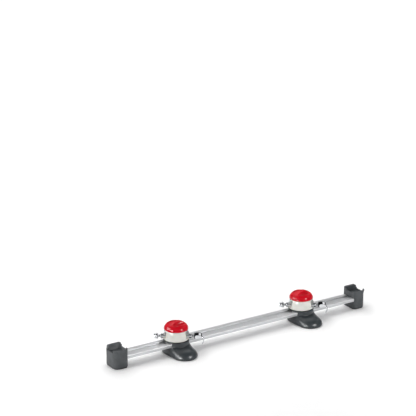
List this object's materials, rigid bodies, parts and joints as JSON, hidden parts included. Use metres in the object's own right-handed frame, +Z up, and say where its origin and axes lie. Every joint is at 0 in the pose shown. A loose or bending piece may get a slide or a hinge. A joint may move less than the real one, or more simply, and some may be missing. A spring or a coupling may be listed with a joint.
{
  "type": "truck bed bike rack",
  "caption": "Free-standing rack for a truck bed: a channel rail on two feet carries sliding, swivelling fork mounts, each with a clamp knob and a quick-release skewer.",
  "frame": {"origin": "middle of the rack's length and depth, on the floor", "axes": "+X along the rail, from the left foot to the right foot as pictured; +Z up; -Y towards the toes of the heads"},
  "size_m": [0.991, 0.1418, 0.105],
  "materials": {
    "aluminium": "clear anodised extrusion, satin",
    "foot_plastic": "dark grey moulded nylon, fine texture",
    "base_plastic": "slate grey moulded nylon, semi-gloss",
    "rubber": "matt black rubber",
    "ivory_plastic": "ivory white moulding, glossy",
    "red_plastic": "signal red moulding, glossy",
    "chrome": "polished chrome plate",
    "zinc_steel": "bright zinc plate",
    "brass": "turned brass",
    "nylon": "natural nylon",
    "dark_cast": "black anodised cap"
  },
  "bodies": {
    "frame": {"rail": "aluminium", "left_foot": "foot_plastic", "left_foot_pad": "rubber", "left_nut_plate": "zinc_steel", "left_foot_screw_1": "zinc_steel", "left_foot_screw_2": "zinc_steel", "right_foot": "foot_plastic", "right_foot_pad": "rubber", "right_nut_plate": "zinc_steel", "right_foot_screw_1": "zinc_steel", "right_foot_screw_2": "zinc_steel"},
    "left_carriage": {"left_base": "base_plastic", "left_base_pad": "rubber", "left_friction_washer": "nylon"},
    "left_head": {"left_collar": "ivory_plastic", "left_bridge": "chrome", "left_axle_tube": "chrome", "left_thrust_washer": "zinc_steel", "left_cam_housing": "dark_cast", "left_nut_spring": "zinc_steel", "left_cam_spring": "zinc_steel"},
    "left_clamp": {"left_stirrup": "zinc_steel", "left_t_disc": "zinc_steel"},
    "left_clamp_knob": {"left_knob": "red_plastic", "left_knob_insert": "brass"},
    "left_release_lever": {"left_cam_lever": "chrome"},
    "left_skewer": {"left_skewer_rod": "zinc_steel"},
    "left_adjusting_nut": {"left_skewer_nut": "chrome"},
    "right_carriage": {"right_base": "base_plastic", "right_base_pad": "rubber", "right_friction_washer": "nylon"},
    "right_head": {"right_collar": "ivory_plastic", "right_bridge": "chrome", "right_axle_tube": "chrome", "right_thrust_washer": "zinc_steel", "right_cam_housing": "dark_cast", "right_nut_spring": "zinc_steel", "right_cam_spring": "zinc_steel"},
    "right_clamp": {"right_stirrup": "zinc_steel", "right_t_disc": "zinc_steel"},
    "right_clamp_knob": {"right_knob": "red_plastic", "right_knob_insert": "brass"},
    "right_release_lever": {"right_cam_lever": "chrome"},
    "right_skewer": {"right_skewer_rod": "zinc_steel"},
    "right_adjusting_nut": {"right_skewer_nut": "chrome"}
  },
  "joints": [
    {"name": "left_carriage_slide", "type": "slide", "parent": "frame", "child": "left_carriage", "axis": [1, 0, 0], "range_m": [-0.124, 0.196]},
    {"name": "left_head_swivel", "type": "hinge", "parent": "left_carriage", "child": "left_head", "pos_m": [-0.25, 0.0241, 0.06], "axis": [0, 0, 1], "range_deg": [-115, 5]},
    {"name": "left_knob_turn", "type": "hinge", "parent": "left_head", "child": "left_clamp_knob", "pos_m": [-0.25, 0.0241, 0.09], "axis": [0, 0, 1], "range_deg": [0, 250]},
    {"name": "left_clamp_drop", "type": "slide", "parent": "left_head", "child": "left_clamp", "axis": [0, 0, -1], "range_m": [0, 0.000868]},
    {"name": "left_lever_turn", "type": "hinge", "parent": "left_head", "child": "left_release_lever", "pos_m": [-0.19366, -0.01179, 0.0535], "axis": [-0.5373, -0.8434, 0], "range_deg": [0, 140]},
    {"name": "left_skewer_slide", "type": "slide", "parent": "left_head", "child": "left_skewer", "axis": [-0.8434, 0.5373, 0], "range_m": [0, 0.00159]},
    {"name": "left_nut_spin", "type": "hinge", "parent": "left_skewer", "child": "left_adjusting_nut", "pos_m": [-0.30566, 0.05956, 0.0535], "axis": [0.8434, -0.5373, 0], "continuous": true},
    {"name": "right_carriage_slide", "type": "slide", "parent": "frame", "child": "right_carriage", "axis": [1, 0, 0], "range_m": [-0.188, 0.122]},
    {"name": "right_head_swivel", "type": "hinge", "parent": "right_carriage", "child": "right_head", "pos_m": [0.245, 0.0241, 0.06], "axis": [0, 0, 1], "range_deg": [-115, 5]},
    {"name": "right_knob_turn", "type": "hinge", "parent": "right_head", "child": "right_clamp_knob", "pos_m": [0.245, 0.0241, 0.09], "axis": [0, 0, 1], "range_deg": [0, 250]},
    {"name": "right_clamp_drop", "type": "slide", "parent": "right_head", "child": "right_clamp", "axis": [0, 0, -1], "range_m": [0, 0.000868]},
    {"name": "right_lever_turn", "type": "hinge", "parent": "right_head", "child": "right_release_lever", "pos_m": [0.30134, -0.01179, 0.0535], "axis": [-0.5373, -0.8434, 0], "range_deg": [0, 140]},
    {"name": "right_skewer_slide", "type": "slide", "parent": "right_head", "child": "right_skewer", "axis": [-0.8434, 0.5373, 0], "range_m": [0, 0.00159]},
    {"name": "right_nut_spin", "type": "hinge", "parent": "right_skewer", "child": "right_adjusting_nut", "pos_m": [0.18934, 0.05956, 0.0535], "axis": [0.8434, -0.5373, 0], "continuous": true}
  ],
  "couplings": [
    {"joint": "left_knob_turn", "follows": "left_clamp_drop", "rad_per_m": 5025},
    {"joint": "left_lever_turn", "follows": "left_skewer_slide", "rad_per_m": 1538},
    {"joint": "right_knob_turn", "follows": "right_clamp_drop", "rad_per_m": 5025},
    {"joint": "right_lever_turn", "follows": "right_skewer_slide", "rad_per_m": 1538}
  ]
}
